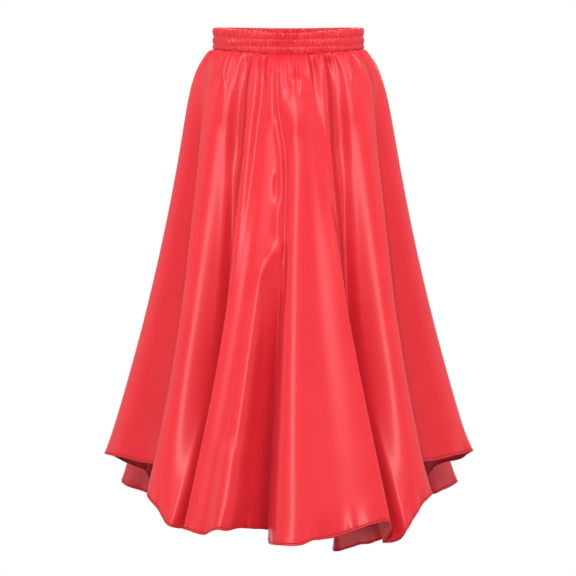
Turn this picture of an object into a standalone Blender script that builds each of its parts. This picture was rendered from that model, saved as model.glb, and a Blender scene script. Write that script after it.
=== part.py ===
"""A long circle skirt in satin, filled out as it is worn, with nobody in it.

It is held at the waist: the origin is the middle of the waist opening, half way up the band, with +Z up, the front
toward -Y and +X to the right of somebody who looks at the front. Four pieces are sewn to each other: two half panels
of the skirt, which hang in deep flutes from gathers, and the two halves of an elasticated casing in three puffed rows.
Azimuths are degrees from the centre front, rising toward +X, so that the centre back is at 180.
"""

import math
from collections import namedtuple

import bmesh
import bpy
import numpy as np

# ---- The waistband: an oval casing that dips at the front ----
WAIST_HALF_WIDTH = 0.130
WAIST_HALF_DEPTH = 0.092
BAND_HEIGHT = 0.037
BAND_WALL = 0.0024
BAND_PUFF = 0.0016
BAND_ROWS = 3
WAIST_TILT = 0.0085
WAIST_DIP = 0.0050

# ---- The skirt: an oval that swells over the hips below the gathers, then flares ----
SKIRT_TOP_INSET = 0.0008
HIP_SWELL = 0.0335
HIP_SWELL_DROP = 0.033
SIDE_FLARE = 0.121
SIDE_FLARE_GROWTH = 0.142
FRONT_FLARE = 0.100
FRONT_FLARE_GROWTH = 0.118
BACK_FLARE = 0.086
BACK_FLARE_GROWTH = 0.100

# ---- The cloth, its seams and its rolled hem ----
CLOTH_WALL = 0.0016
HEM_WALL = 0.0028
HEM_HEIGHT = 0.006
SEAM_GAP = 0.0003

# ---- How the flutes open on their way down ----
FULL_DROP = 0.82
FLUTE_GROWTH = 0.55
FLUTE_ONSET = 0.04
HEM_OPENING = (0.52, 0.80)
SWING_EASE = 1.5
CREST_FULLNESS = 1.45

# ---- How finely the pieces are faceted ----
STEPS_PER_FOLD = 4
SKIRT_LEVELS = 11
LEVEL_CROWDING = 1.25
BAND_STEPS = 36
PUFF_STEPS = 2
SHARP_EDGE_DEGREES = 50

SATIN_RED = (0.86, 0.045, 0.060, 1.0)
SATIN_ROUGHNESS = 0.36

# Each row is a turning point of the flutes, from the centre front round by +X. waist and hem are its azimuths at the
# gathers and at the hem. inset is the share of the oval's radius by which it stands in, half way down as if it went on
# growing to the hem, and hem_inset is the same at the hem. start is the drop below the gathers where it begins to
# stand in, and height is where its hem hangs.
Turn = namedtuple("Turn", "name waist hem inset hem_inset start height")
TURNS = [
    Turn("front_flute_left_crest", 6, 0, 0.00, 0.00, 0.30, -0.861),
    Turn("front_flute_dip", 11, 19, 0.04, 0.03, 0.10, -0.843),
    Turn("front_flute_right_crest", 17, 35, 0.00, 0.00, 0.00, -0.824),
    Turn("front_flute_turn", 26, 38, 0.18, 0.16, 0.00, -0.862),
    Turn("right_inner_valley", 44, 40, 0.38, 0.13, 0.00, -0.861),
    Turn("right_flute_left_crest", 52, 42, 0.20, 0.01, 0.00, -0.836),
    Turn("right_flute_crest", 63, 51, 0.00, 0.00, 0.00, -0.790),
    Turn("right_outer_valley", 76, 68, 0.47, 0.38, 0.00, -0.742),
    Turn("right_side_crest", 87, 87, 0.00, 0.00, 0.00, -0.712),
    Turn("right_seam", 95, 97, 0.26, 0.24, 0.00, -0.744),
    Turn("right_back_valley", 101, 102, 0.36, 0.32, 0.00, -0.790),
    Turn("right_back_crest", 112, 113, 0.00, 0.00, 0.00, -0.768),
    Turn("back_valley_1", 125, 129, 0.40, 0.36, 0.00, -0.825),
    Turn("back_crest_1", 137, 142, 0.02, 0.02, 0.00, -0.866),
    Turn("back_valley_2", 149, 152, 0.40, 0.36, 0.00, -0.892),
    Turn("back_crest_2", 160, 165, 0.00, 0.00, 0.00, -0.868),
    Turn("back_crest_2_dip", 171, 175, 0.09, 0.08, 0.08, -0.864),
    Turn("back_crest_3", 182, 185, 0.01, 0.00, 0.00, -0.866),
    Turn("back_valley_3", 193, 196, 0.44, 0.38, 0.00, -0.846),
    Turn("back_crest_4", 205, 207, 0.00, 0.00, 0.00, -0.848),
    Turn("back_crest_4_dip", 214, 215, 0.07, 0.08, 0.12, -0.842),
    Turn("back_crest_5", 223, 223, 0.03, 0.02, 0.00, -0.836),
    Turn("back_valley_4", 236, 235, 0.41, 0.36, 0.00, -0.806),
    Turn("left_back_crest", 248, 247, 0.00, 0.00, 0.00, -0.768),
    Turn("left_back_valley", 259, 258, 0.36, 0.32, 0.00, -0.790),
    Turn("left_seam", 265, 263, 0.26, 0.24, 0.00, -0.744),
    Turn("left_side_crest", 273, 273, 0.00, 0.00, 0.00, -0.712),
    Turn("left_outer_valley", 284, 292, 0.47, 0.38, 0.00, -0.742),
    Turn("left_flute_crest", 297, 309, 0.00, 0.00, 0.00, -0.790),
    Turn("left_flute_right_crest", 308, 318, 0.20, 0.01, 0.00, -0.832),
    Turn("left_inner_valley", 316, 321, 0.38, 0.11, 0.00, -0.836),
    Turn("centre_flute_left_crest", 340, 324, 0.00, 0.00, 0.00, -0.838),
    Turn("centre_flute_dip", 346, 330, 0.02, 0.02, 0.12, -0.847),
    Turn("centre_flute_right_crest", 352, 336, 0.00, 0.00, 0.34, -0.837),
    Turn("centre_valley_slope", 356, 343, 0.21, 0.14, 0.34, -0.836),
    Turn("centre_valley", 361, 351, 0.38, 0.30, 0.34, -0.838),
    Turn("front_flute_flank", 364, 351.4, 0.19, 0.16, 0.32, -0.860),
]
RIGHT_SEAM = [turn.name for turn in TURNS].index("right_seam")
LEFT_SEAM = [turn.name for turn in TURNS].index("left_seam")


def flared(waist, swell, flare, growth, drop):
    """A half width of the skirt's oval at a drop below the gathers."""
    return waist + swell * (1 - np.exp(-drop / HIP_SWELL_DROP)) + flare * drop + growth * drop**2


def oval_radius(azimuth, drop):
    """The radius that the crests reach, at an azimuth in radians and a drop below the gathers."""
    waist_width = WAIST_HALF_WIDTH - SKIRT_TOP_INSET
    waist_depth = WAIST_HALF_DEPTH - SKIRT_TOP_INSET
    slimmer = HIP_SWELL * WAIST_HALF_DEPTH / WAIST_HALF_WIDTH
    width = flared(waist_width, HIP_SWELL, SIDE_FLARE, SIDE_FLARE_GROWTH, drop)
    front = flared(waist_depth, slimmer, FRONT_FLARE, FRONT_FLARE_GROWTH, drop)
    back = flared(waist_depth, slimmer, BACK_FLARE, BACK_FLARE_GROWTH, drop)
    depth = np.where(np.cos(azimuth) > 0, front, back)
    return 1 / np.hypot(np.sin(azimuth) / width, np.cos(azimuth) / depth)


def waist_height(azimuth):
    """The height of the band's middle line, which dips at the front and a little at the back."""
    forward = np.cos(azimuth)
    return -WAIST_TILT * forward - WAIST_DIP * forward**2


def seam_height(azimuth):
    """The height of the seam where the gathers meet the band."""
    return waist_height(azimuth) - BAND_HEIGHT / 2


def hermite(here, slope_here, after, slope_after, share):
    """The cubic from one value to the next with those slopes."""
    squared = share**2
    cubed = share**3
    return (
        here * (2 * cubed - 3 * squared + 1)
        + slope_here * (cubed - 2 * squared + share)
        + after * (3 * squared - 2 * cubed)
        + slope_after * (cubed - squared)
    )


def smooth_step(low, high, value):
    """0 below low, 1 above high, and a soft S between."""
    share = np.clip((value - low) / (high - low), 0, 1)
    return share * share * (3 - 2 * share)


def limited_slope(step_in, step_out):
    """The slope at a turn, from the steps on its two sides: none where the values turn back."""
    product = step_in * step_out
    total = np.where(np.abs(step_in + step_out) > 0, step_in + step_out, 1)
    return np.where(product > 0, 2 * product / total, 0)


def mean_slope(step_in, step_out):
    """The plain average slope at a turn."""
    return (step_in + step_out) / 2


def along_turns(values, place, slope):
    """A value at a place along the turns that passes through each turn's own. The last turn leads to the first."""
    count = len(values)
    index = np.floor(place).astype(int)
    before, here, after, beyond = (values[(index + step) % count] for step in (-1, 0, 1, 2))
    slope_here = slope(here - before, after - here)
    slope_after = slope(after - here, beyond - after)
    return hermite(here, slope_here, after, slope_after, place - index)


def column(name):
    """One column of the table of turns."""
    return np.array([getattr(turn, name) for turn in TURNS], float)


def turn_azimuths(name, place):
    """The azimuth in radians at a place along the turns, which grows by a whole round as the turns do."""
    degrees = column(name)
    degrees = np.where(degrees < degrees[0] - 0.001, degrees + 360, degrees)
    each = 360 / len(TURNS)
    offset = degrees - np.arange(len(TURNS)) * each
    return np.radians(along_turns(offset, place, mean_slope) + place * each)


def fluted(insets, place):
    """The inset at a place along the turns, rounder at the crests than in the valleys."""
    return np.clip(along_turns(insets ** (1 / CREST_FULLNESS), place, limited_slope), 0, 1) ** CREST_FULLNESS


def cloth_point(place, fall):
    """The middle of the cloth at a place along the turns, with fall from 0 at the gathers to 1 at the hem."""
    swing = 1 - (1 - fall) ** SWING_EASE
    waist_azimuth = turn_azimuths("waist", place)
    azimuth = waist_azimuth + (turn_azimuths("hem", place) - waist_azimuth) * swing
    top = seam_height(waist_azimuth) - SEAM_GAP / 2
    bottom = along_turns(column("height"), place, limited_slope)
    height = top + (bottom - top) * fall
    drop = (top - bottom) * fall
    start = along_turns(column("start"), place, limited_slope)
    below = np.clip(drop - start, 0, None)
    opened = below**2 / (below + FLUTE_ONSET) / (FULL_DROP - start)
    inset = fluted(column("inset"), place)
    inset = inset + (fluted(column("hem_inset"), place) - inset) * smooth_step(*HEM_OPENING, drop)
    radius = oval_radius(azimuth, drop) * (1 - inset * opened**FLUTE_GROWTH)
    return np.stack([radius * np.sin(azimuth), -radius * np.cos(azimuth), height], axis=-1)


def surface_normals(points):
    """Outward unit normals of a grid of points, whose rows run down and whose columns run round by +X."""
    around = np.gradient(points, axis=1)
    down = np.gradient(points, axis=0)
    normals = np.cross(down, around)
    return normals / np.linalg.norm(normals, axis=-1, keepdims=True)


def cloth_grid(first, last, levels):
    """The cloth from one turn to another as a grid of points, and its normals, with half the seam's gap at each end."""
    count = (last - first) * STEPS_PER_FOLD
    step = 1 / STEPS_PER_FOLD
    places = np.linspace(first - step, last + step, count + 3)
    place, fall = np.meshgrid(places, levels)
    wider = cloth_point(place, fall)
    normals = surface_normals(wider)[:, 1:-1]
    points = wider[:, 1:-1].copy()
    for edge, inner in ((0, 1), (-1, -2)):
        inward = points[:, inner] - points[:, edge]
        inward /= np.linalg.norm(inward, axis=-1, keepdims=True)
        points[:, edge] += inward * SEAM_GAP / 2
    return points, normals


def skirt_levels():
    """The falls of the rings, closer together over the hips, with the last three for the rolled hem."""
    hem_share = HEM_HEIGHT / FULL_DROP
    body = (np.arange(SKIRT_LEVELS + 1) / SKIRT_LEVELS) ** LEVEL_CROWDING * (1 - 2 * hem_share)
    return np.append(body, [1 - hem_share, 1])


def skirt_walls(levels):
    """The wall at each ring: plain cloth, and the roll at the hem."""
    walls = np.full(len(levels), CLOTH_WALL)
    walls[-2:] = HEM_WALL
    return walls


def walled_mesh(name, outer, inner):
    """A closed body between two grids of points that share their rows and columns."""
    rows, columns = outer.shape[:2]
    mesh = bmesh.new()
    outside = [[mesh.verts.new(outer[r, c]) for c in range(columns)] for r in range(rows)]
    inside = [[mesh.verts.new(inner[r, c]) for c in range(columns)] for r in range(rows)]
    for r in range(rows - 1):
        for c in range(columns - 1):
            mesh.faces.new([outside[r][c], outside[r + 1][c], outside[r + 1][c + 1], outside[r][c + 1]])
            mesh.faces.new([inside[r][c], inside[r][c + 1], inside[r + 1][c + 1], inside[r + 1][c]])
    for c in range(columns - 1):
        mesh.faces.new([outside[0][c], outside[0][c + 1], inside[0][c + 1], inside[0][c]])
        mesh.faces.new([outside[-1][c], inside[-1][c], inside[-1][c + 1], outside[-1][c + 1]])
    for r in range(rows - 1):
        mesh.faces.new([outside[r][0], inside[r][0], inside[r + 1][0], outside[r + 1][0]])
        mesh.faces.new([outside[r][-1], outside[r + 1][-1], inside[r + 1][-1], inside[r][-1]])
    bmesh.ops.triangulate(mesh, faces=mesh.faces[:])
    data = bpy.data.meshes.new(name)
    mesh.to_mesh(data)
    mesh.free()
    data.shade_smooth()
    data.set_sharp_from_angle(angle=math.radians(SHARP_EDGE_DEGREES))
    return data


def satin(name):
    """Red satin, in a material of the piece's own."""
    material = bpy.data.materials.new(name)
    material.use_nodes = True
    shader = material.node_tree.nodes["Principled BSDF"]
    shader.inputs["Base Color"].default_value = SATIN_RED
    shader.inputs["Roughness"].default_value = SATIN_ROUGHNESS
    shader.inputs["Metallic"].default_value = 0.0
    return material


def add_piece(name, outer, inner):
    """One sewn piece as an object of its own."""
    piece = bpy.data.objects.new(name, walled_mesh(name, outer, inner))
    piece.data.materials.append(satin(name + "_satin"))
    bpy.context.scene.collection.objects.link(piece)
    return piece


def skirt_panel(name, first, last):
    """Half of the skirt, from one side seam to the other."""
    levels = skirt_levels()
    points, normals = cloth_grid(first, last, levels)
    half_wall = skirt_walls(levels)[:, None, None] / 2
    return add_piece(name, points + normals * half_wall, points - normals * half_wall)


def band_profile():
    """The casing's outer side from top to bottom: (share of the height, how far it puffs out) for each ring."""
    steps = BAND_ROWS * PUFF_STEPS
    share = np.arange(steps + 1) / steps
    puff = BAND_PUFF * np.abs(np.sin(math.pi * BAND_ROWS * share))
    return share, puff


def band_half(name, first_azimuth, last_azimuth):
    """Half of the elasticated casing, between two azimuths in radians."""
    share, puff = band_profile()
    half_gap = SEAM_GAP / 2 / WAIST_HALF_DEPTH
    azimuths = np.linspace(first_azimuth + half_gap, last_azimuth - half_gap, BAND_STEPS + 1)
    azimuth, down = np.meshgrid(azimuths, share)
    height = waist_height(azimuth) + (0.5 - down) * (BAND_HEIGHT - SEAM_GAP)
    surfaces = []
    for out in (puff[:, None], -BAND_WALL + 0 * puff[:, None]):
        width = WAIST_HALF_WIDTH - BAND_PUFF + out
        depth = WAIST_HALF_DEPTH - BAND_PUFF + out
        radius = 1 / np.hypot(np.sin(azimuth) / width, np.cos(azimuth) / depth)
        surfaces.append(np.stack([radius * np.sin(azimuth), -radius * np.cos(azimuth), height], axis=-1))
    return add_piece(name, *surfaces)


def clear_scene():
    """Remove what the scene starts with."""
    for thing in list(bpy.data.objects):
        bpy.data.objects.remove(thing)


def build():
    """The four sewn pieces."""
    clear_scene()
    skirt_panel("skirt_front", LEFT_SEAM - len(TURNS), RIGHT_SEAM)
    skirt_panel("skirt_back", RIGHT_SEAM, LEFT_SEAM)
    seam_azimuth = float(turn_azimuths("waist", np.array(float(RIGHT_SEAM))))
    band_half("waistband_front", -seam_azimuth, seam_azimuth)
    band_half("waistband_back", seam_azimuth, 2 * math.pi - seam_azimuth)


build()
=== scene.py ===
"""The looks of the circle skirt: gathered red satin in deep flutes, with a shirred elastic waistband.

Metres, +Z up, the front toward -Y. Azimuths run from the centre front round by +X, in degrees in the tables,
and in radians in the functions unless they say degrees. The flutes follow the same table of turning points as
the CAD panels. On top of them come the gathers, the creases, the puckers of the waistband, the stitches, and
the roll and ruffle of the hem.
"""

import math
from collections import namedtuple

import bpy
import numpy as np
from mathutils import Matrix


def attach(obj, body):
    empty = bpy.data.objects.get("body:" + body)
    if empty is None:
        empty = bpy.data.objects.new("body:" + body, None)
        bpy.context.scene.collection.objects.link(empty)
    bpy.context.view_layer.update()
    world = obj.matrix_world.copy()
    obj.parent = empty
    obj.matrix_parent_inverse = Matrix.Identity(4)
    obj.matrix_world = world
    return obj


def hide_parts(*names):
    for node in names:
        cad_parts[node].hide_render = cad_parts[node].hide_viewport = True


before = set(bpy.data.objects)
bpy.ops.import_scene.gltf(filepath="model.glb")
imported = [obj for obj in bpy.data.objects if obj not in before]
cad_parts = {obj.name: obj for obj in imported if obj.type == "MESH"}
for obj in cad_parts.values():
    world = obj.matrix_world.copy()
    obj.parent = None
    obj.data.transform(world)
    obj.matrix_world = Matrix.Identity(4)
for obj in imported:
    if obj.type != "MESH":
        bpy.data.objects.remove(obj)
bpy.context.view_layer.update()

# ---- The garment's sizes, as in the CAD ----
WAIST_HALF_WIDTH = 0.130
WAIST_HALF_DEPTH = 0.092
BAND_HEIGHT = 0.037
WAIST_TILT = 0.0085
WAIST_DIP = 0.0050
SKIRT_TOP_INSET = 0.0008
HIP_SWELL = 0.0335
HIP_SWELL_DROP = 0.033
SIDE_FLARE = 0.121
SIDE_FLARE_GROWTH = 0.142
FRONT_FLARE = 0.100
FRONT_FLARE_GROWTH = 0.118
BACK_FLARE = 0.086
BACK_FLARE_GROWTH = 0.100
FULL_DROP = 0.82
FLUTE_GROWTH = 0.55
FLUTE_ONSET = 0.04
SWING_EASE = 1.5
HEM_OPENING = (0.52, 0.80)
CREST_FULLNESS = 1.45

# ---- The cloth, its seams and its hem ----
CLOTH_THICKNESS = 0.0006
SEAM_SINK = 0.0014
SEAM_WIDTH = 0.0024
HEM_ROLL = 0.0020
HEM_ROLL_HEIGHT = 0.0040
HEM_ROLL_HANG = 0.9  # The roll's middle is below the cloth's edge by this share of half its height.
HEM_SIDES = 8
RUFFLE_HEIGHT = 0.055
RUFFLE_LENGTH = 0.032
FINE_RUFFLE_LENGTH = 0.4 * RUFFLE_LENGTH
FINE_RUFFLE_SHARE = 0.5
RUFFLE_SWAY = 0.0044
RUFFLE_LIFT = 0.0036
RUFFLE_RHYTHM = (0.5, 1.6)  # The shortest and the longest wave, as shares of their usual length.

# ---- The stitches ----
STITCH_LENGTH = 0.0026
STITCH_PITCH = 0.0034
STITCH_SIDES = 6
THREAD_RADIUS = 0.00030
# A stitch's rings: the place along it as a share of its length, and the width as a share of the thread's.
STITCH_RINGS = ((-0.5, 0.35), (-0.35, 1.0), (0.35, 1.0), (0.5, 0.35))
HEM_STITCH_ROW = 3  # The row of the panel's points that the stitches follow, counted up from the hem.

# ---- How finely a panel is meshed: closer rows in its top GATHERS_SHARE and its bottom HEM_SHARE ----
PANEL_COLUMNS = 440
PANEL_ROWS = 108
GATHER_ROWS = 30
GATHERS_SHARE = 0.075
HEM_ROWS = 6
HEM_SHARE = 0.015
SPACING_SAMPLES = 3001
SPACING_FALLS = (0.02, 1.0)

# ---- The flutes ----
# Each row is a turning point of the flutes, from the centre front round by +X. waist and hem are its azimuths
# at the gathers and at the hem. inset is the share of the oval's radius by which it stands in, half way down
# as if it went on growing to the hem, and hem_inset is the same at the hem. start is the drop below the
# gathers where it begins to stand in, and height is where its hem hangs.
Turn = namedtuple("Turn", "name waist hem inset hem_inset start height")
TURNS = [
    Turn("front_flute_left_crest", 6, 0, 0.00, 0.00, 0.30, -0.861),
    Turn("front_flute_dip", 11, 19, 0.04, 0.03, 0.10, -0.843),
    Turn("front_flute_right_crest", 17, 35, 0.00, 0.00, 0.00, -0.824),
    Turn("front_flute_turn", 26, 38, 0.18, 0.16, 0.00, -0.862),
    Turn("right_inner_valley", 44, 40, 0.38, 0.13, 0.00, -0.861),
    Turn("right_flute_left_crest", 52, 42, 0.20, 0.01, 0.00, -0.836),
    Turn("right_flute_crest", 63, 51, 0.00, 0.00, 0.00, -0.790),
    Turn("right_outer_valley", 76, 68, 0.47, 0.38, 0.00, -0.742),
    Turn("right_side_crest", 87, 87, 0.00, 0.00, 0.00, -0.712),
    Turn("right_seam", 95, 97, 0.26, 0.24, 0.00, -0.744),
    Turn("right_back_valley", 101, 102, 0.36, 0.32, 0.00, -0.790),
    Turn("right_back_crest", 112, 113, 0.00, 0.00, 0.00, -0.768),
    Turn("back_valley_1", 125, 129, 0.40, 0.36, 0.00, -0.825),
    Turn("back_crest_1", 137, 142, 0.02, 0.02, 0.00, -0.866),
    Turn("back_valley_2", 149, 152, 0.40, 0.36, 0.00, -0.892),
    Turn("back_crest_2", 160, 165, 0.00, 0.00, 0.00, -0.868),
    Turn("back_crest_2_dip", 171, 175, 0.09, 0.08, 0.08, -0.864),
    Turn("back_crest_3", 182, 185, 0.01, 0.00, 0.00, -0.866),
    Turn("back_valley_3", 193, 196, 0.44, 0.38, 0.00, -0.846),
    Turn("back_crest_4", 205, 207, 0.00, 0.00, 0.00, -0.848),
    Turn("back_crest_4_dip", 214, 215, 0.07, 0.08, 0.12, -0.842),
    Turn("back_crest_5", 223, 223, 0.03, 0.02, 0.00, -0.836),
    Turn("back_valley_4", 236, 235, 0.41, 0.36, 0.00, -0.806),
    Turn("left_back_crest", 248, 247, 0.00, 0.00, 0.00, -0.768),
    Turn("left_back_valley", 259, 258, 0.36, 0.32, 0.00, -0.790),
    Turn("left_seam", 265, 263, 0.26, 0.24, 0.00, -0.744),
    Turn("left_side_crest", 273, 273, 0.00, 0.00, 0.00, -0.712),
    Turn("left_outer_valley", 284, 292, 0.47, 0.38, 0.00, -0.742),
    Turn("left_flute_crest", 297, 309, 0.00, 0.00, 0.00, -0.790),
    Turn("left_flute_right_crest", 308, 318, 0.20, 0.01, 0.00, -0.832),
    Turn("left_inner_valley", 316, 321, 0.38, 0.11, 0.00, -0.836),
    Turn("centre_flute_left_crest", 340, 324, 0.00, 0.00, 0.00, -0.838),
    Turn("centre_flute_dip", 346, 330, 0.02, 0.02, 0.12, -0.847),
    Turn("centre_flute_right_crest", 352, 336, 0.00, 0.00, 0.34, -0.837),
    Turn("centre_valley_slope", 356, 343, 0.21, 0.14, 0.34, -0.836),
    Turn("centre_valley", 361, 351, 0.38, 0.30, 0.34, -0.838),
    Turn("front_flute_flank", 364, 351.4, 0.19, 0.16, 0.32, -0.860),
]
RIGHT_SEAM = [turn.name for turn in TURNS].index("right_seam")
LEFT_SEAM = [turn.name for turn in TURNS].index("left_seam")

# ---- Creases: soft ridges (+) and troughs (-) on the flutes ----
# path is the crease's line, as azimuths and drops below the gathers. left and right are the widths of its two
# sides at the top, spread is how many times as wide it is at its end, and height is how far it stands out. It
# rises over the drops CREASE_RISE from its top, and fades from the share CREASE_FADE of its length.
CREASE_RISE = (-0.004, 0.012)
CREASE_FADE = 0.65
Crease = namedtuple("Crease", "name path left right spread height")
CENTRE_CREASES = [
    # The short gathers between the centre flutes, and the hollows and soft lights beside them.
    Crease("gather_1", ((-21, 0.000), (-19.5, 0.030), (-18.5, 0.050)), 0.0036, 0.0040, 1.0, 0.0022),
    Crease("gather_2", ((-13.5, 0.000), (-13, 0.045)), 0.0036, 0.0040, 1.2, 0.0024),
    Crease("gather_2_light", ((-13.5, 0.030), (-12.5, 0.075), (-12, 0.130)), 0.0085, 0.0085, 1.0, 0.0030),
    Crease("gather_3", ((3.5, 0.000), (3.8, 0.035), (4, 0.080)), 0.0036, 0.0040, 1.2, 0.0024),
    Crease("gather_3_hollow", ((6.8, 0.015), (7.2, 0.050)), 0.0040, 0.0040, 1.0, -0.0014),
    Crease("gather_4", ((10, 0.000), (10.5, 0.040), (11, 0.080)), 0.0038, 0.0040, 1.3, 0.0026),
    Crease("gather_4_light", ((7.0, 0.035), (7.0, 0.080), (7.0, 0.150)), 0.0130, 0.0140, 1.0, 0.0044),
    Crease("gather_5", ((17.5, 0.000), (18.5, 0.030), (19, 0.050)), 0.0036, 0.0040, 1.2, 0.0022),
    Crease("centre_gap", ((-1.5, 0.010), (-1.5, 0.050), (1, 0.080)), 0.0050, 0.0046, 1.0, -0.0022),
    # The long satin roll down the front flute's left side, and the wavy crease that runs beside it.
    Crease(
        "satin_roll",
        (
            (-5.5, 0.000), (-6, 0.050), (-2.8, 0.086), (2.6, 0.115), (5.6, 0.160), (5.6, 0.240), (4.4, 0.320),
            (2.6, 0.500), (1.6, 1.300),
        ),
        0.0120, 0.0190, 1.2, 0.0040,
    ),
    Crease(
        "centre_hollow",
        (
            (-10, 0.030), (-8.2, 0.090), (-6.2, 0.120), (-2.6, 0.160), (-1.8, 0.210), (-2.3, 0.300),
            (-3, 0.480),
        ),
        0.0050, 0.0052, 1.0, -0.0036,
    ),
    Crease(
        "wavy_edge",
        ((-8.6, 0.110), (-7.6, 0.140), (-5.8, 0.165), (-4.9, 0.190), (-4.5, 0.235), (-5.4, 0.262)),
        0.0050, 0.0030, 1.0, 0.0022,
    ),
    Crease("wavy_dimple", ((-8.2, 0.205), (-8.0, 0.232), (-7, 0.262)), 0.0055, 0.0040, 1.0, -0.0036),
    Crease("leaf", ((-5.6, 0.246), (-7.2, 0.282), (-6.4, 0.325)), 0.0075, 0.0060, 1.0, 0.0034),
    Crease(
        "leaf_fan",
        ((-7.5, 0.318), (-11, 0.345), (-15, 0.372), (-19, 0.400)),
        0.0110, 0.0090, 1.2, 0.0026,
    ),
    # A soft fold that catches the light near the centre flute's hem.
    Crease("hem_light", ((-24, 0.660), (-25, 0.745), (-26, 0.950)), 0.0150, 0.0180, 1.2, 0.0056),
]
SIDE_CREASES = [
    # The narrow fold beside the centre flutes, which sinks into them half way down, and its hollows.
    Crease(
        "gather_valley",
        ((-39, 0.004), (-40, 0.050), (-40.5, 0.110), (-40, 0.230)),
        0.0120, 0.0110, 1.2, -0.0090,
    ),
    Crease(
        "strip",
        (
            (-32, 0.000), (-28, 0.040), (-27.5, 0.080), (-29, 0.120), (-30.5, 0.210), (-32.5, 0.310),
            (-33.5, 0.460),
        ),
        0.0090, 0.0100, 1.3, 0.0056,
    ),
    Crease(
        "strip_gap",
        ((-25, 0.000), (-22.6, 0.045), (-22.6, 0.080), (-23.6, 0.120), (-26.5, 0.234), (-28.5, 0.340)),
        0.0080, 0.0085, 1.3, -0.0048,
    ),
    # Two short soft gathers, and the fine lines that run from the seam into the side flutes.
    Crease("side_gather_1", ((-50.5, 0.000), (-49, 0.050), (-48.5, 0.140)), 0.0070, 0.0080, 1.2, 0.0026),
    Crease("side_gather_2", ((-57, 0.000), (-55, 0.030), (-54, 0.060)), 0.0050, 0.0055, 1.0, 0.0030),
    Crease("side_line", ((-53.5, 0.040), (-52, 0.075), (-51.7, 0.135)), 0.0034, 0.0038, 1.0, 0.0014),
    Crease(
        "flute_edge",
        (
            (-64, 0.010), (-66, 0.060), (-66.5, 0.100), (-65, 0.160), (-62.5, 0.240), (-59, 0.330),
            (-57, 0.460),
        ),
        0.0044, 0.0065, 1.3, 0.0026,
    ),
    Crease(
        "outer_line",
        ((-79, 0.004), (-77, 0.050), (-74, 0.100), (-69, 0.165)),
        0.0042, 0.0050, 1.2, 0.0022,
    ),
]
BACK_CREASES = [
    Crease(
        "back_roll_1",
        ((141, 0.000), (140, 0.080), (141, 0.200), (142, 0.440)),
        0.0110, 0.0120, 1.4, 0.0032,
    ),
    Crease("back_gather_1", ((156, 0.000), (157, 0.050), (158, 0.100)), 0.0050, 0.0055, 1.2, 0.0026),
    Crease("back_hollow_1", ((166, 0.005), (166.5, 0.060), (168, 0.150)), 0.0080, 0.0080, 1.3, -0.0040),
    Crease(
        "back_roll_2",
        ((176, 0.000), (177, 0.070), (178, 0.180), (178, 0.360)),
        0.0100, 0.0110, 1.5, 0.0030,
    ),
    Crease("back_gather_2", ((188, 0.000), (188, 0.040), (187, 0.090)), 0.0045, 0.0050, 1.2, 0.0026),
    Crease("back_dimple", ((199, 0.200), (200, 0.240), (201, 0.290)), 0.0060, 0.0050, 1.0, -0.0034),
    Crease("back_hollow_2", ((209, 0.005), (210, 0.070), (212, 0.170)), 0.0085, 0.0080, 1.3, -0.0042),
    Crease(
        "back_roll_3",
        ((219, 0.000), (220, 0.080), (220.5, 0.200), (221, 0.400)),
        0.0100, 0.0110, 1.4, 0.0030,
    ),
    Crease("back_gather_3", ((243, 0.000), (244, 0.040), (245, 0.100)), 0.0050, 0.0055, 1.2, 0.0028),
    Crease("back_gather_4", ((117, 0.000), (116, 0.040), (115, 0.100)), 0.0050, 0.0055, 1.2, 0.0028),
]

# ---- Gathers: three sizes of ridge come out of the seam, with their spacing, width, height and reach ----
Gather = namedtuple("Gather", "spacing width height reach")
GATHERS = [
    Gather(0.0065, 0.0016, 0.0014, 0.014),
    Gather(0.0150, 0.0030, 0.0026, 0.040),
    Gather(0.0300, 0.0048, 0.0034, 0.095),
]
# Each gather is this uneven: the least and most shares of its size's own spacing, width, height and reach.
GATHER_SPACINGS = (0.6, 1.4)
GATHER_WIDTHS = (0.75, 1.3)
GATHER_HEIGHTS = (0.5, 1.3)
GATHER_REACHES = (0.5, 1.6)
GATHER_WANDER_DEGREES = 1.5
GATHER_SPREAD_DROP = 0.09  # The drop at which a gather is twice as wide as at the seam.
GATHER_FADE_POWER = 1.8
GATHER_SINK = 0.8  # This much of the gathers' mean height is taken off, so that hollows lie between them.
GATHERS_AT_SEAM = 0.45  # Their strength at the seam, which is full GATHERS_FULL_DROP below it.
GATHERS_FULL_DROP = 0.008

# ---- The waistband: three puffed rows, with a line of stitching between each and the next ----
BAND_COLUMNS = 560
BAND_RINGS = 44
BAND_ROWS = 3
BAND_THICKNESS = 0.0022
PUFF = 0.0012
PUCKER = 0.0020
# Each line of stitching is this share of the way down the band, and side_drop further down at the sides.
StitchLine = namedtuple("StitchLine", "down side_drop")
STITCH_LINES = [StitchLine(0.31, 0.10), StitchLine(0.66, 0.14)]
# The puckers that all the rows share, each row's own, and the fine ones: their spacing and their strength.
SHARED_PUCKERS = 0.0052
OWN_PUCKERS = 0.0043
FINE_PUCKERS = 0.0021
SHARED_STRENGTH = 0.35
OWN_STRENGTH = 0.65
FINE_STRENGTH = 0.3
STITCHED_SHARED_STRENGTH = 0.5
STITCHED_OWN_STRENGTH = 0.3
PUCKER_SPACINGS = (0.6, 1.5)
PUCKER_LEVELS = (0.35, 1.0)
PUCKER_LEAD = 0.005  # The puckers begin this far before the end of the band, and run on past its other end.
PUCKER_OVERRUN = 0.02
PUCKER_SWAY = 0.0012  # Each pucker leans to and fro by this much on its way down.
SWAY_PER_HEIGHT = 9
SWAY_PER_METRE = 60
PINCHED_PUCKER = 0.35  # How much of the puckers is left at the stitching.
INSIDE_PUCKER = 0.6  # How much of the puckers shows inside.
TOP_EDGE_WAVE = 0.0005  # The top edge rises and falls by this much.
TOP_EDGE_SHARE = 0.06  # That wave dies out over this share of the band's height.

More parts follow.
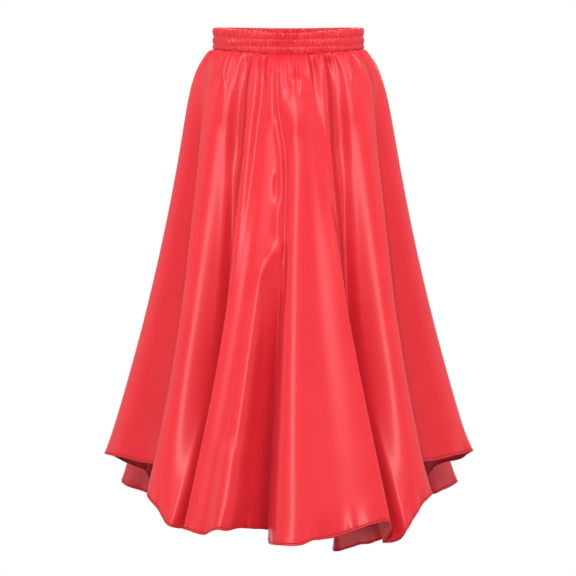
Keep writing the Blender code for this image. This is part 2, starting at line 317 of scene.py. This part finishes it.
# ---- The random unevenness: each piece has its own, and the front gathers are stronger ----
FRONT_SEED = 3
BACK_SEED = 5
FRONT_BAND_SEED = 7
BACK_BAND_SEED = 11
FRONT_GATHER_STRENGTH = 1.15
BACK_GATHER_STRENGTH = 1.0

# ---- The cuts: each panel is a part of a ring, and each half of the band is a strip ----
# The cuts are widths and lengths. A panel's area is given too, because it doesn't fill that rectangle.
FRONT_CUT = (1.46, 0.89)
FRONT_CUT_AREA = 0.84
BACK_CUT = (1.40, 0.90)
BACK_CUT_AREA = 0.81
BAND_FRONT_CUT = (0.56, 0.037)
BAND_BACK_CUT = (0.49, 0.037)
Cut = namedtuple("Cut", "piece node flat area extras")

# ---- The satin ----
SATIN_DARK = (0.292, 0.0076, 0.0120)
SATIN_LIGHT = (0.306, 0.0088, 0.0134)
SATIN_FINISH = {
    "Roughness": 0.35,
    "Specular IOR Level": 0.14,
    "Sheen Weight": 0.03,
    "Sheen Roughness": 0.45,
    "Sheen Tint": (1.0, 0.45, 0.45, 1),
}
CLOUD_SCALE = 14
CLOUD_DETAIL = 3
CLOUD_STOPS = (0.35, 0.70)
WEAVE_SCALE = 900
WEAVE_STRETCH = (1.0, 1.0, 0.15)
WEAVE_STRENGTH = 0.05
WEAVE_DEPTH = 0.0002
THROUGH_COLOUR = (0.90, 0.045, 0.060)
THROUGH_SHARE = 0.04
# How deep the red is painted: lower is darker. The hem's roll and the thread take the darker copy, which is
# painted shade standing for the dark line along the hem.
UNSHADED_RED = 1.0
HEM_PAINTED_SHADE = 0.82

# ---- The studio ----
CAMERA_DISTANCE = 9.0
CAMERA_SIDE = -0.0009
CAMERA_HEIGHT = -0.432
CAMERA_REACH = 100
PICTURE_WIDTH = 0.9965
SENSOR = 36.0
FLOOR_HEIGHT = -1.35
FLOOR_RADIUS = 4
FLOOR_SIDES = 96
FLOOR_COLOUR = (0.4, 0.4, 0.4, 1)
FLOOR_ROUGHNESS = 0.9
SURROUND_LIGHT = 1.20  # The white surround's strength as it lights the skirt.
SURROUND_SEEN = 1.0  # Its strength as the camera sees it.
# The lamps stand round the skirt's middle, at azimuths and elevations in degrees. Their power is in watts.
Softbox = namedtuple("Softbox", "name azimuth elevation distance width height power")
SOFTBOXES = [
    Softbox("left_softbox", -84, 12, 3.2, 3.0, 3.0, 60),
    Softbox("right_softbox", 84, 12, 3.2, 3.0, 3.0, 60),
    Softbox("front_softbox", -1, 30, 3.5, 0.6, 2.6, 190),
    Softbox("high_left_softbox", -34, 40, 3.2, 0.45, 1.4, 32),
    Softbox("high_right_softbox", 34, 40, 3.2, 0.45, 1.4, 32),
    Softbox("back_softbox", 180, 25, 3.5, 1.4, 2.4, 150),
]


# ---- Curves and grids ----


def smooth_step(low, high, value):
    """0 below low, 1 above high, and a soft S between."""
    share = np.clip((value - low) / (high - low), 0, 1)
    return share * share * (3 - 2 * share)


def lengths_along(line):
    """How far along a line of points each one is."""
    return np.concatenate([[0], np.cumsum(np.linalg.norm(np.diff(line, axis=0), axis=1))])


def ellipse_radius(azimuth, width, depth):
    """The radius of an oval with those half widths."""
    return 1 / np.hypot(np.sin(azimuth) / width, np.cos(azimuth) / depth)


def around_axis(radius, azimuth, height):
    """Points at a radius, an azimuth and a height."""
    return np.stack([radius * np.sin(azimuth), -radius * np.cos(azimuth), height], axis=-1)


def grid_normals(points):
    """Outward unit normals of a grid of points, whose rows run down and whose columns run round by +X."""
    around = np.gradient(points, axis=1)
    down = np.gradient(points, axis=0)
    normals = np.cross(down, around)
    return normals / np.linalg.norm(normals, axis=-1, keepdims=True)


# ---- The fluted cloth ----


def flared(waist, swell, flare, growth, drop):
    """A half width of the skirt's oval at a drop below the gathers."""
    return waist + swell * (1 - np.exp(-drop / HIP_SWELL_DROP)) + flare * drop + growth * drop**2


def oval_radius(azimuth, drop):
    """The radius that the crests reach, at an azimuth and a drop below the gathers."""
    waist_width = WAIST_HALF_WIDTH - SKIRT_TOP_INSET
    waist_depth = WAIST_HALF_DEPTH - SKIRT_TOP_INSET
    slimmer = HIP_SWELL * WAIST_HALF_DEPTH / WAIST_HALF_WIDTH
    width = flared(waist_width, HIP_SWELL, SIDE_FLARE, SIDE_FLARE_GROWTH, drop)
    front = flared(waist_depth, slimmer, FRONT_FLARE, FRONT_FLARE_GROWTH, drop)
    back = flared(waist_depth, slimmer, BACK_FLARE, BACK_FLARE_GROWTH, drop)
    return ellipse_radius(azimuth, width, np.where(np.cos(azimuth) > 0, front, back))


def waist_height(azimuth):
    """The height of the band's middle line, which dips at the front and a little at the back."""
    forward = np.cos(azimuth)
    return -WAIST_TILT * forward - WAIST_DIP * forward**2


def seam_height(azimuth):
    """The height of the seam where the gathers meet the band."""
    return waist_height(azimuth) - BAND_HEIGHT / 2


def hermite(here, slope_here, after, slope_after, share):
    """The cubic from one value to the next with those slopes."""
    squared = share**2
    cubed = share**3
    return (
        here * (2 * cubed - 3 * squared + 1)
        + slope_here * (cubed - 2 * squared + share)
        + after * (3 * squared - 2 * cubed)
        + slope_after * (cubed - squared)
    )


def limited_slope(step_in, step_out):
    """The slope at a turn, from the steps on its two sides: none where the values turn back."""
    product = step_in * step_out
    total = np.where(np.abs(step_in + step_out) > 0, step_in + step_out, 1)
    return np.where(product > 0, 2 * product / total, 0)


def mean_slope(step_in, step_out):
    """The plain average slope at a turn."""
    return (step_in + step_out) / 2


def along_turns(values, place, slope):
    """A value at a place along the turns, on a curve through each turn's own. The last leads to the first."""
    count = len(values)
    index = np.floor(place).astype(int)
    before, here, after, beyond = (values[(index + step) % count] for step in (-1, 0, 1, 2))
    slope_here = slope(here - before, after - here)
    slope_after = slope(after - here, beyond - after)
    return hermite(here, slope_here, after, slope_after, place - index)


def column(name):
    """One column of the table of turns."""
    return np.array([getattr(turn, name) for turn in TURNS], float)


def turn_azimuths(name, place):
    """The azimuth at a place along the turns, which grows by a whole round as the turns do."""
    each = 360 / len(TURNS)
    offset = column(name) - np.arange(len(TURNS)) * each
    return np.radians(along_turns(offset, place, mean_slope) + place * each)


def fluted(insets, place):
    """The inset at a place along the turns, rounder at the crests than in the valleys."""
    eased = along_turns(insets ** (1 / CREST_FULLNESS), place, limited_slope)
    return np.clip(eased, 0, 1) ** CREST_FULLNESS


def cloth_point(place, fall):
    """The fluted cloth at a place along the turns, with fall from 0 at the gathers to 1 at the hem: its
    points, azimuths and drops below the gathers."""
    swing = 1 - (1 - fall) ** SWING_EASE
    waist_azimuth = turn_azimuths("waist", place)
    azimuth = waist_azimuth + (turn_azimuths("hem", place) - waist_azimuth) * swing
    top = seam_height(waist_azimuth)
    bottom = along_turns(column("height"), place, limited_slope)
    height = top + (bottom - top) * fall
    drop = (top - bottom) * fall
    start = along_turns(column("start"), place, limited_slope)
    below = np.clip(drop - start, 0, None)
    opened = below**2 / (below + FLUTE_ONSET) / (FULL_DROP - start)
    inset = fluted(column("inset"), place)
    inset = inset + (fluted(column("hem_inset"), place) - inset) * smooth_step(*HEM_OPENING, drop)
    radius = oval_radius(azimuth, drop) * (1 - inset * opened**FLUTE_GROWTH)
    return around_axis(radius, azimuth, height), azimuth, drop


def panel_falls():
    """The rows' falls: close together in the gathers and at the hem, and even between."""
    gathers = np.linspace(0, GATHERS_SHARE, GATHER_ROWS)
    body = np.linspace(GATHERS_SHARE, 1 - HEM_SHARE, PANEL_ROWS - GATHER_ROWS - HEM_ROWS + 2)[1:]
    hem = np.linspace(1 - HEM_SHARE, 1, HEM_ROWS)[1:]
    return np.concatenate([gathers, body, hem])


def panel_places(first, last):
    """The columns' places, spaced by the cloth's length at the gathers and at the hem together. There is one
    more column past each edge."""
    fine = np.linspace(first, last, SPACING_SAMPLES)
    share = np.zeros(len(fine))
    for fall in SPACING_FALLS:
        points = cloth_point(fine, np.full(len(fine), fall))[0]
        length = lengths_along(points)
        share += length / length[-1] / len(SPACING_FALLS)
    inside = np.interp(np.linspace(0, 1, PANEL_COLUMNS + 1), share, fine)
    return np.concatenate([[2 * inside[0] - inside[1]], inside, [2 * inside[-1] - inside[-2]]])


# ---- Creases, gathers and the ruffle ----


def mirrored(creases):
    """The same creases on the other side of the centre front."""
    return [
        crease._replace(
            name="right_" + crease.name,
            path=tuple((-azimuth, drop) for azimuth, drop in crease.path),
            left=crease.right,
            right=crease.left,
        )
        for crease in creases
    ]


def path_azimuth(path, drop):
    """The azimuth in degrees of a crease's line at each drop, on a smooth curve through its points."""
    azimuths, drops = np.array(path, float).T
    slopes = np.gradient(azimuths, drops)
    index = np.clip(np.searchsorted(drops, drop) - 1, 0, len(drops) - 2)
    span = drops[index + 1] - drops[index]
    share = np.clip((drop - drops[index]) / span, 0, 1)
    after = index + 1
    return hermite(azimuths[index], slopes[index] * span, azimuths[after], slopes[after] * span, share)


def across_from(azimuth, middle, radius):
    """The distance along the cloth from a line at an azimuth in degrees."""
    away = (np.degrees(azimuth) - middle + 180) % 360 - 180
    return np.radians(away) * radius


def crease_height(crease, azimuth, drop, radius):
    """How far one crease stands out at each point."""
    start, end = crease.path[0][1], crease.path[-1][1]
    across = across_from(azimuth, path_azimuth(crease.path, drop), radius)
    along = np.clip((drop - start) / (end - start), 0, 1)
    width = np.where(across < 0, crease.left, crease.right) * (1 + (crease.spread - 1) * along)
    rise = smooth_step(start + CREASE_RISE[0], start + CREASE_RISE[1], drop)
    fade = 1 - smooth_step(CREASE_FADE, 1, along)
    return crease.height * (rise * fade) * np.exp(-((across / width) ** 2))


def gather_fade(drop, reach):
    """What is left of a gather at a drop, from 1 at the seam."""
    return np.exp(-((drop / reach) ** GATHER_FADE_POWER))


def gather_ridges(random, strength, azimuth, drop, radius):
    """Ridges and hollows that fan out of the seam, uneven in spacing, width, height and length."""
    first, last = np.degrees(azimuth[0, 0]), np.degrees(azimuth[0, -1])
    total = np.zeros_like(azimuth)
    for gather in GATHERS:
        at = first
        while at < last:
            reach = gather.reach * random.uniform(*GATHER_REACHES)
            width = gather.width * random.uniform(*GATHER_WIDTHS)
            height = gather.height * random.uniform(*GATHER_HEIGHTS)
            middle = at + random.normal(0, GATHER_WANDER_DEGREES) * smooth_step(0, 2 * reach, drop)
            across = across_from(azimuth, middle, radius)
            spread = width * (1 + drop / GATHER_SPREAD_DROP)
            total += height * np.exp(-((across / spread) ** 2)) * gather_fade(drop, reach)
            at += np.degrees(gather.spacing * random.uniform(*GATHER_SPACINGS) / WAIST_HALF_WIDTH)
        filled = math.sqrt(math.pi) * gather.width / gather.spacing
        total -= GATHER_SINK * gather.height * filled * gather_fade(drop, gather.reach)
    opened = smooth_step(0, GATHERS_FULL_DROP, drop)
    return strength * total * (GATHERS_AT_SEAM + (1 - GATHERS_AT_SEAM) * opened)


def uneven_wave(random, length, spacing):
    """A smooth wave along an edge of that length, uneven in rhythm: a function of the distance along it."""
    knots = [-spacing]
    while knots[-1] < length + 3 * spacing:
        knots.append(knots[-1] + spacing * random.uniform(*RUFFLE_RHYTHM))
    levels = random.uniform(-1, 1, len(knots))
    knots = np.array(knots)

    def wave(distance):
        index = np.clip(np.searchsorted(knots, distance) - 1, 0, len(knots) - 2)
        share = smooth_step(knots[index], knots[index + 1], distance)
        return levels[index] + (levels[index + 1] - levels[index]) * share

    return wave


def ruffle(random, points, normals):
    """The hem's own waviness: it stands in and out, and hangs up and down, more and more towards its edge."""
    edge = points[-1]
    along = lengths_along(edge)
    up = points[..., 2] - edge[:, 2]
    near = np.clip(1 - up / RUFFLE_HEIGHT, 0, 1) ** 2
    long_sway = uneven_wave(random, along[-1], RUFFLE_LENGTH)(along)
    short_sway = uneven_wave(random, along[-1], FINE_RUFFLE_LENGTH)(along)
    lift = uneven_wave(random, along[-1], RUFFLE_LENGTH)(along)
    sway = RUFFLE_SWAY * near * (long_sway + FINE_RUFFLE_SHARE * short_sway)
    points = points + normals * sway[..., None]
    points[..., 2] += RUFFLE_LIFT * near * lift
    return points


def panel_surface(first, last, creases, strength, seed):
    """The outside of one panel as a grid of points, with its normals."""
    random = np.random.default_rng(seed)
    place, fall = np.meshgrid(panel_places(first, last), panel_falls())
    points, azimuth, drop = cloth_point(place, fall)
    radius = np.hypot(points[..., 0], points[..., 1])
    normals = grid_normals(points)
    out = gather_ridges(random, strength, azimuth, drop, radius)
    for crease in creases:
        out += crease_height(crease, azimuth, drop, radius)
    for seam in (azimuth[:, 1:2], azimuth[:, -2:-1]):
        out -= SEAM_SINK * np.exp(-(((azimuth - seam) * radius / SEAM_WIDTH) ** 2))
    points = ruffle(random, points + normals * out[..., None], normals)
    return points[:, 1:-1], grid_normals(points)[:, 1:-1]


# ---- Pieces ----


def shell_mesh(name, outer, inner):
    """A closed thin body between two grids of points that share their rows and columns."""
    rows, columns = outer.shape[:2]
    count = rows * columns
    index = np.arange(count).reshape(rows, columns)
    a, b, c, d = index[:-1, :-1], index[1:, :-1], index[1:, 1:], index[:-1, 1:]
    outside = np.stack([a, b, c, d], axis=-1).reshape(-1, 4)
    inside = np.stack([a, d, c, b], axis=-1).reshape(-1, 4) + count
    top, bottom, left, right = index[0], index[-1], index[:, 0], index[:, -1]
    edges = [
        np.stack([top[:-1], top[1:], top[1:] + count, top[:-1] + count], axis=-1),
        np.stack([bottom[:-1], bottom[:-1] + count, bottom[1:] + count, bottom[1:]], axis=-1),
        np.stack([left[:-1], left[:-1] + count, left[1:] + count, left[1:]], axis=-1),
        np.stack([right[:-1], right[1:], right[1:] + count, right[:-1] + count], axis=-1),
    ]
    faces = np.concatenate([outside, inside, *edges])
    mesh = bpy.data.meshes.new(name)
    mesh.vertices.add(2 * count)
    mesh.vertices.foreach_set("co", np.concatenate([outer.reshape(-1, 3), inner.reshape(-1, 3)]).ravel())
    mesh.loops.add(faces.size)
    mesh.loops.foreach_set("vertex_index", faces.ravel())
    mesh.polygons.add(len(faces))
    mesh.polygons.foreach_set("loop_start", np.arange(len(faces)) * 4)
    mesh.update(calc_edges=True)
    mesh.validate()
    mesh.shade_smooth()
    return mesh


def link(name, mesh, material):
    """A mesh as an object of the scene, in one material."""
    piece = bpy.data.objects.new(name, mesh)
    mesh.materials.append(material)
    bpy.context.scene.collection.objects.link(piece)
    return piece


def solid_piece(name, points, faces, material):
    """A smooth piece made of those points and faces."""
    mesh = bpy.data.meshes.new(name)
    mesh.from_pydata(points, [], faces)
    mesh.update()
    mesh.shade_smooth()
    return link(name, mesh, material)


def rolled_hem(name, edge, down, normals, material):
    """The narrow rolled hem: a soft flattened cord along the edge of a panel."""
    sides = []
    for turn in np.linspace(0, 2 * math.pi, HEM_SIDES, endpoint=False):
        rise = HEM_ROLL_HEIGHT / 2 * (math.cos(turn) - HEM_ROLL_HANG)
        sides.append(edge - down * rise + normals * HEM_ROLL / 2 * math.sin(turn))
    points = np.array(sides)
    index = np.arange(points[..., 0].size).reshape(points.shape[:2])
    beside = np.roll(index, -1, axis=0)
    walls = np.stack([index[:, :-1], index[:, 1:], beside[:, 1:], beside[:, :-1]], axis=-1)
    caps = [index[:, 0].tolist(), index[::-1, -1].tolist()]
    return solid_piece(name, points.reshape(-1, 3).tolist(), walls.reshape(-1, 4).tolist() + caps, material)


def stitch_row(line, normals):
    """The stitches along a line on the cloth: slim beads, end to end with short gaps. It gives their points,
    the faces round them and the faces at their ends."""
    along = lengths_along(line)
    middles = np.arange(STITCH_PITCH / 2, along[-1], STITCH_PITCH)
    places, widths = np.array(STITCH_RINGS).T
    at = middles[:, None] + places * STITCH_LENGTH
    centre = np.stack([np.interp(at, along, line[:, axis]) for axis in range(3)], axis=-1)
    out = np.stack([np.interp(at, along, normals[:, axis]) for axis in range(3)], axis=-1)
    ahead = centre[:, -1:] - centre[:, :1]
    side = np.cross(out, ahead)
    side /= np.linalg.norm(side, axis=-1, keepdims=True)
    turns = np.linspace(0, 2 * math.pi, STITCH_SIDES, endpoint=False)
    around = np.cos(turns)[:, None] * side[:, :, None] + np.sin(turns)[:, None] * out[:, :, None]
    points = centre[:, :, None] + around * (widths * THREAD_RADIUS)[None, :, None, None]
    index = np.arange(points[..., 0].size).reshape(points.shape[:3])
    beside = np.roll(index, -1, axis=2)
    walls = np.stack([index[:, :-1], beside[:, :-1], beside[:, 1:], index[:, 1:]], axis=-1).reshape(-1, 4)
    caps = np.concatenate([index[:, 0, ::-1], index[:, -1]])
    return points.reshape(-1, 3), walls, caps


def add_stitches(name, rows, material):
    """Rows of stitches as one piece: rows holds a line and its normals for each."""
    corners, faces = [], []
    for line, normals in rows:
        points, walls, caps = stitch_row(line, normals)
        count = len(corners)
        corners += points.tolist()
        faces += (walls + count).tolist() + (caps + count).tolist()
    return solid_piece(name, corners, faces, material)


def add_panel(name, first, last, creases, strength, seed, material, hem_material):
    """One half of the skirt, from seam to seam, with its rolled hem and the hem's stitches."""
    points, normals = panel_surface(first, last, creases, strength, seed)
    half = CLOTH_THICKNESS / 2
    panel = link(name, shell_mesh(name, points + normals * half, points - normals * half), material)
    down = points[-1] - points[-2]
    down /= np.linalg.norm(down, axis=-1, keepdims=True)
    hem = rolled_hem(name.replace("panel", "hem"), points[-1], down, normals[-1], hem_material)
    out = normals[-HEM_STITCH_ROW]
    row = (points[-HEM_STITCH_ROW] + out * half, out)
    stitches = add_stitches(name.replace("panel", "hem_stitches"), [row], hem_material)
    return panel, hem, stitches


def pucker_wave(random, length, spacing):
    """Puckers along a row: a function of the distance along the band, in an uneven rhythm."""
    knots = [0.0]
    while knots[-1] < length + PUCKER_OVERRUN:
        knots.append(knots[-1] + spacing * random.uniform(*PUCKER_SPACINGS))
    knots = np.array(knots)
    levels = random.uniform(*PUCKER_LEVELS, len(knots))

    def wave(distance):
        phase = np.interp(distance + PUCKER_LEAD, knots, np.arange(len(knots)))
        strength = np.interp(distance + PUCKER_LEAD, knots, levels)
        return strength * np.cos(2 * math.pi * phase)

    return wave


def puffed_rows(down, lines):
    """The puffed row that each point is in, counted from the top, and its share of the way down that row."""
    edges = np.stack([np.zeros_like(down), *lines, np.ones_like(down)])
    row = sum(down >= line for line in lines)
    top = np.take_along_axis(edges, row[None], axis=0)[0]
    bottom = np.take_along_axis(edges, row[None] + 1, axis=0)[0]
    return row, (down - top) / (bottom - top)


def band_puckers(random, distance, down, row, puff):
    """The puckers, from -1 to 1. Each puffed row has its own, and at the stitching most are shared."""
    length = distance[-1]
    shared = pucker_wave(random, length, SHARED_PUCKERS)
    own = [pucker_wave(random, length, OWN_PUCKERS) for _ in range(BAND_ROWS)]
    fine = [pucker_wave(random, length, FINE_PUCKERS) for _ in range(BAND_ROWS)]
    along = np.broadcast_to(distance, down.shape)
    swayed = along + PUCKER_SWAY * np.sin(SWAY_PER_HEIGHT * down + SWAY_PER_METRE * along)
    puffed = np.zeros_like(down)
    for number in range(BAND_ROWS):
        in_row = OWN_STRENGTH * own[number](swayed) + FINE_STRENGTH * fine[number](swayed)
        puffed = np.where(row == number, in_row + SHARED_STRENGTH * shared(along), puffed)
    stitched = STITCHED_SHARED_STRENGTH * shared(along) + STITCHED_OWN_STRENGTH * own[0](along)
    return puff * puffed + (1 - puff) * stitched


def across_rings(grid, place):
    """The grid's values along a line that crosses its rings, at a share of the way down in each column."""
    ring = place * (len(grid) - 1)
    low = np.floor(ring).astype(int)
    share = (ring - low)[:, None]
    columns = np.arange(grid.shape[1])
    return grid[low, columns] * (1 - share) + grid[low + 1, columns] * share


def add_band(name, first_azimuth, last_azimuth, seed, material, thread):
    """Half of the shirred casing, puffed between its lines of stitching and puckered all along."""
    random = np.random.default_rng(seed)
    azimuths = np.linspace(first_azimuth, last_azimuth, BAND_COLUMNS + 1)
    azimuth, down = np.meshgrid(azimuths, np.linspace(0, 1, BAND_RINGS + 1))
    waist_radius = ellipse_radius(azimuths, WAIST_HALF_WIDTH, WAIST_HALF_DEPTH)
    distance = lengths_along(around_axis(waist_radius, azimuths, np.zeros_like(azimuths)))
    lines = [line.down + line.side_drop * np.sin(azimuth) ** 2 for line in STITCH_LINES]
    row, row_share = puffed_rows(down, lines)
    puff = np.sqrt(np.clip(np.sin(math.pi * row_share), 0, 1))
    pucker = band_puckers(random, distance, down, row, puff)
    out = PUFF * puff - PUFF + PUCKER * pucker * (PINCHED_PUCKER + (1 - PINCHED_PUCKER) * puff)
    height = waist_height(azimuth) + (0.5 - down) * BAND_HEIGHT
    height = height + TOP_EDGE_WAVE * pucker * (1 - smooth_step(0, TOP_EDGE_SHARE, down))
    layers = []
    for offset in (out, -BAND_THICKNESS - INSIDE_PUCKER * out - PUFF):
        radius = ellipse_radius(azimuth, WAIST_HALF_WIDTH + offset, WAIST_HALF_DEPTH + offset)
        layers.append(around_axis(radius, azimuth, height))
    band = link(name, shell_mesh(name, *layers), material)
    normals = grid_normals(layers[0])
    rows = [(across_rings(layers[0], line[0]), across_rings(normals, line[0])) for line in lines]
    return band, add_stitches(name.replace("band", "band_stitches"), rows, thread)


# ---- Materials ----


def with_painted_shade(colour, depth):
    """A colour that is darker the lower the depth is, and opaque; below a depth of 1 the darkening is painted
    shade.
    """
    return (*(level * depth for level in colour), 1)


def add_clouds(nodes, links, place, shader, depth):
    """A slight unevenness of colour."""
    clouds = nodes.new("ShaderNodeTexNoise")
    clouds.inputs["Scale"].default_value = CLOUD_SCALE
    clouds.inputs["Detail"].default_value = CLOUD_DETAIL
    ramp = nodes.new("ShaderNodeValToRGB")
    for element, stop, colour in zip(ramp.color_ramp.elements, CLOUD_STOPS, (SATIN_DARK, SATIN_LIGHT)):
        element.position = stop
        # Below full depth the clouds are darkened: painted shade on the hem's copy.
        element.color = with_painted_shade(colour, depth)
    links.new(place.outputs["Object"], clouds.inputs["Vector"])
    links.new(clouds.outputs["Fac"], ramp.inputs["Fac"])
    links.new(ramp.outputs["Color"], shader.inputs["Base Color"])


def add_weave(nodes, links, place, shader):
    """The fine weave, in threads that run down the cloth."""
    stretch = nodes.new("ShaderNodeMapping")
    stretch.inputs["Scale"].default_value = WEAVE_STRETCH
    weave = nodes.new("ShaderNodeTexNoise")
    weave.inputs["Scale"].default_value = WEAVE_SCALE
    bump = nodes.new("ShaderNodeBump")
    bump.inputs["Strength"].default_value = WEAVE_STRENGTH
    bump.inputs["Distance"].default_value = WEAVE_DEPTH
    links.new(place.outputs["Object"], stretch.inputs["Vector"])
    links.new(stretch.outputs["Vector"], weave.inputs["Vector"])
    links.new(weave.outputs["Fac"], bump.inputs["Height"])
    links.new(bump.outputs["Normal"], shader.inputs["Normal"])


def let_light_through(nodes, links, shader, depth):
    """The share of the light that comes through the cloth."""
    through = nodes.new("ShaderNodeBsdfTranslucent")
    # The light through the cloth is darkened by the same painted shade on the hem's copy.
    through.inputs["Color"].default_value = with_painted_shade(THROUGH_COLOUR, depth)
    mix = nodes.new("ShaderNodeMixShader")
    mix.inputs["Fac"].default_value = THROUGH_SHARE
    links.new(shader.outputs["BSDF"], mix.inputs[1])
    links.new(through.outputs["BSDF"], mix.inputs[2])
    links.new(mix.outputs["Shader"], nodes["Material Output"].inputs["Surface"])


def satin_material(name, depth):
    """Red satin with a soft lustre. A lower depth is a darker red, which is painted shade in its colour and
    in the light through it.
    """
    material = bpy.data.materials.new(name)
    material.use_nodes = True
    nodes = material.node_tree.nodes
    links = material.node_tree.links
    shader = nodes["Principled BSDF"]
    for setting, value in SATIN_FINISH.items():
        shader.inputs[setting].default_value = value
    place = nodes.new("ShaderNodeTexCoord")
    add_clouds(nodes, links, place, shader, depth)
    add_weave(nodes, links, place, shader)
    let_light_through(nodes, links, shader, depth)
    return material


def floor_material():
    """A plain matt grey."""
    material = bpy.data.materials.new("floor_paint")
    material.use_nodes = True
    shader = material.node_tree.nodes["Principled BSDF"]
    shader.inputs["Base Color"].default_value = FLOOR_COLOUR
    shader.inputs["Roughness"].default_value = FLOOR_ROUGHNESS
    return material


# ---- The studio ----


def add_floor():
    """A round floor well below the hem."""
    bpy.ops.mesh.primitive_circle_add(
        vertices=FLOOR_SIDES, radius=FLOOR_RADIUS, fill_type="NGON", location=(0, 0, FLOOR_HEIGHT)
    )
    floor = bpy.context.object
    floor.name = "floor"
    floor.data.materials.append(floor_material())


def add_softbox(box):
    """A rectangular lamp that faces the skirt's middle."""
    lamp = bpy.data.lights.new(box.name, "AREA")
    lamp.shape = "RECTANGLE"
    lamp.size = box.width
    lamp.size_y = box.height
    lamp.energy = box.power
    holder = bpy.data.objects.new(box.name, lamp)
    turn = math.radians(box.azimuth)
    rise = math.radians(box.elevation)
    flat = box.distance * math.cos(rise)
    height = CAMERA_HEIGHT + box.distance * math.sin(rise)
    holder.location = (flat * math.sin(turn), -flat * math.cos(turn), height)
    holder.rotation_euler = (math.pi / 2 - rise, 0, turn)
    holder.visible_camera = False
    bpy.context.scene.collection.objects.link(holder)


def light_studio():
    """The lamps, and a white surround."""
    for box in SOFTBOXES:
        add_softbox(box)
    world = bpy.data.worlds.new("surround")
    bpy.context.scene.world = world
    world.use_nodes = True
    nodes = world.node_tree.nodes
    links = world.node_tree.links
    background = nodes["Background"]
    background.inputs["Color"].default_value = (1, 1, 1, 1)
    path = nodes.new("ShaderNodeLightPath")
    level = nodes.new("ShaderNodeMapRange")
    level.inputs["To Min"].default_value = SURROUND_LIGHT
    level.inputs["To Max"].default_value = SURROUND_SEEN
    links.new(path.outputs["Is Camera Ray"], level.inputs["Value"])
    links.new(level.outputs["Result"], background.inputs["Strength"])
    bpy.context.scene.view_settings.view_transform = "Standard"


def add_camera():
    """A long lens, level with the middle of the skirt."""
    camera = bpy.data.cameras.new("camera")
    camera.sensor_width = SENSOR
    camera.lens = SENSOR * CAMERA_DISTANCE / PICTURE_WIDTH
    camera.clip_end = CAMERA_REACH
    holder = bpy.data.objects.new("camera", camera)
    holder.location = (CAMERA_SIDE, -CAMERA_DISTANCE, CAMERA_HEIGHT)
    holder.rotation_euler = (math.pi / 2, 0, 0)
    bpy.context.scene.collection.objects.link(holder)
    bpy.context.scene.camera = holder


# ---- The whole skirt ----


def build():
    """Everything that shows."""
    satin = satin_material("red_satin", UNSHADED_RED)
    # A darker copy of the satin, with painted shade, for the hem's rolls and for all the stitches.
    hem_shaded_satin = satin_material("hem_shaded_satin", HEM_PAINTED_SHADE)
    front_creases = CENTRE_CREASES + SIDE_CREASES + mirrored(SIDE_CREASES)
    front, front_hem, front_stitches = add_panel(
        "front_panel", LEFT_SEAM - len(TURNS), RIGHT_SEAM, front_creases,
        FRONT_GATHER_STRENGTH, FRONT_SEED, satin, hem_shaded_satin,
    )
    back, back_hem, back_stitches = add_panel(
        "back_panel", RIGHT_SEAM, LEFT_SEAM, BACK_CREASES,
        BACK_GATHER_STRENGTH, BACK_SEED, satin, hem_shaded_satin,
    )
    seam = math.radians(TURNS[RIGHT_SEAM].waist)
    band_front, front_thread = add_band("front_band", -seam, seam, FRONT_BAND_SEED, satin, hem_shaded_satin)
    band_back, back_thread = add_band(
        "back_band", seam, 2 * math.pi - seam, BACK_BAND_SEED, satin, hem_shaded_satin,
    )
    cuts = [
        Cut(front, "skirt_front", FRONT_CUT, FRONT_CUT_AREA, [front_hem, front_stitches]),
        Cut(back, "skirt_back", BACK_CUT, BACK_CUT_AREA, [back_hem, back_stitches]),
        Cut(band_front, "waistband_front", BAND_FRONT_CUT, None, [front_thread]),
        Cut(band_back, "waistband_back", BAND_BACK_CUT, None, [back_thread]),
    ]
    for cut in cuts:
        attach(cut.piece, "root")
        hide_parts(cut.node)
        for extra in cut.extras:
            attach(extra, "root")
    add_floor()
    light_studio()
    add_camera()


build()
